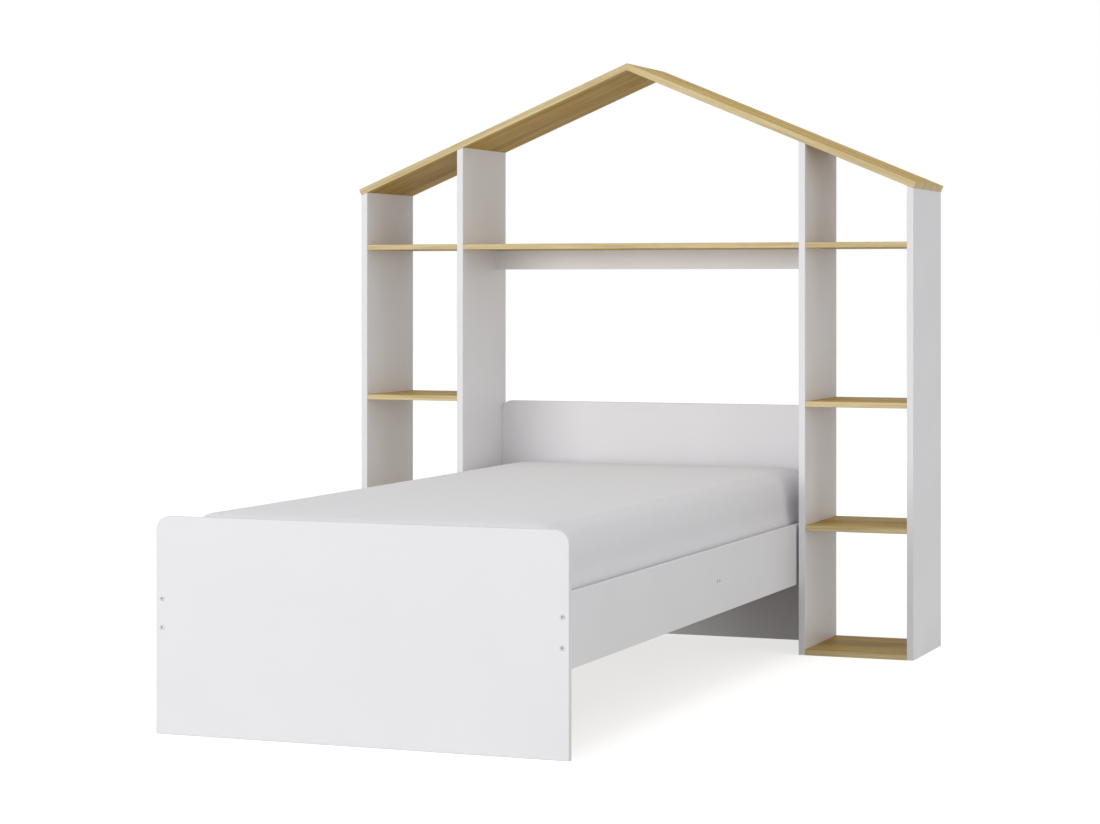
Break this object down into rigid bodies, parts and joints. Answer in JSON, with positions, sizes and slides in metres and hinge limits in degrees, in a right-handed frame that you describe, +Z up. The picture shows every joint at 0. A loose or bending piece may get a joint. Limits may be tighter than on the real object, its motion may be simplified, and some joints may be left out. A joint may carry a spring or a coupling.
{
  "type": "house bed",
  "caption": "Single bed whose head end stands in the middle bay of a house-shaped shelf unit with a pitched oak-effect roof, open side columns and a loose mattress.",
  "frame": {"origin": "on the floor, in the middle of the object's length and width", "axes": "+X to the right seen from the foot of the bed, +Y from the foot to the wall, +Z up"},
  "size_m": [1.6138, 2.054, 1.5955],
  "materials": {
    "white_laminate": "satin white laminate on particle board",
    "oak_laminate": "matt oak-effect laminate with oak-effect edge banding",
    "pine": "planed, unfinished",
    "beech": "fluted dowel, unfinished",
    "zinc_steel": "zinc-plated",
    "die_cast_zinc": "die-cast, dull",
    "white_plastic": "moulded, satin",
    "mattress_cover": "smooth knitted cover",
    "slat_tape": "woven tape"
  },
  "bodies": {
    "frame": {"bed_dowels": "beech", "cam_bolts": "zinc_steel", "cam_covers": "white_plastic", "cam_locks": "die_cast_zinc", "footboard": "white_laminate", "headboard": "white_laminate", "ledger_left": "pine", "ledger_right": "pine", "ledger_screws": "zinc_steel", "rail_bolts": "zinc_steel", "rail_cross_nuts": "zinc_steel", "ridge_dowels": "beech", "roof_panel_left": "oak_laminate", "roof_panel_right": "oak_laminate", "shelf_base_left": "oak_laminate", "shelf_base_right": "oak_laminate", "shelf_dowels": "beech", "shelf_lower_left": "oak_laminate", "shelf_lower_right": "oak_laminate", "shelf_middle_left": "oak_laminate", "shelf_middle_right": "oak_laminate", "shelf_niche": "oak_laminate", "shelf_upper_left": "oak_laminate", "shelf_upper_right": "oak_laminate", "side_rail_left": "white_laminate", "side_rail_right": "white_laminate", "slat_01": "pine", "slat_02": "pine", "slat_03": "pine", "slat_04": "pine", "slat_05": "pine", "slat_06": "pine", "slat_07": "pine", "slat_08": "pine", "slat_09": "pine", "slat_10": "pine", "slat_11": "pine", "slat_12": "pine", "slat_ribbon_left": "slat_tape", "slat_ribbon_right": "slat_tape", "stretcher": "white_laminate", "tie_batten": "pine", "tie_batten_screws": "zinc_steel", "upright_inner_left": "white_laminate", "upright_inner_right": "white_laminate", "upright_outer_left": "white_laminate", "upright_outer_right": "white_laminate"},
    "mattress": {"mattress": "mattress_cover"}
  },
  "joints": [
    {"name": "mattress_lift", "type": "slide", "parent": "frame", "child": "mattress", "axis": [0, 0, 1], "range_m": [0, 0.5]}
  ]
}
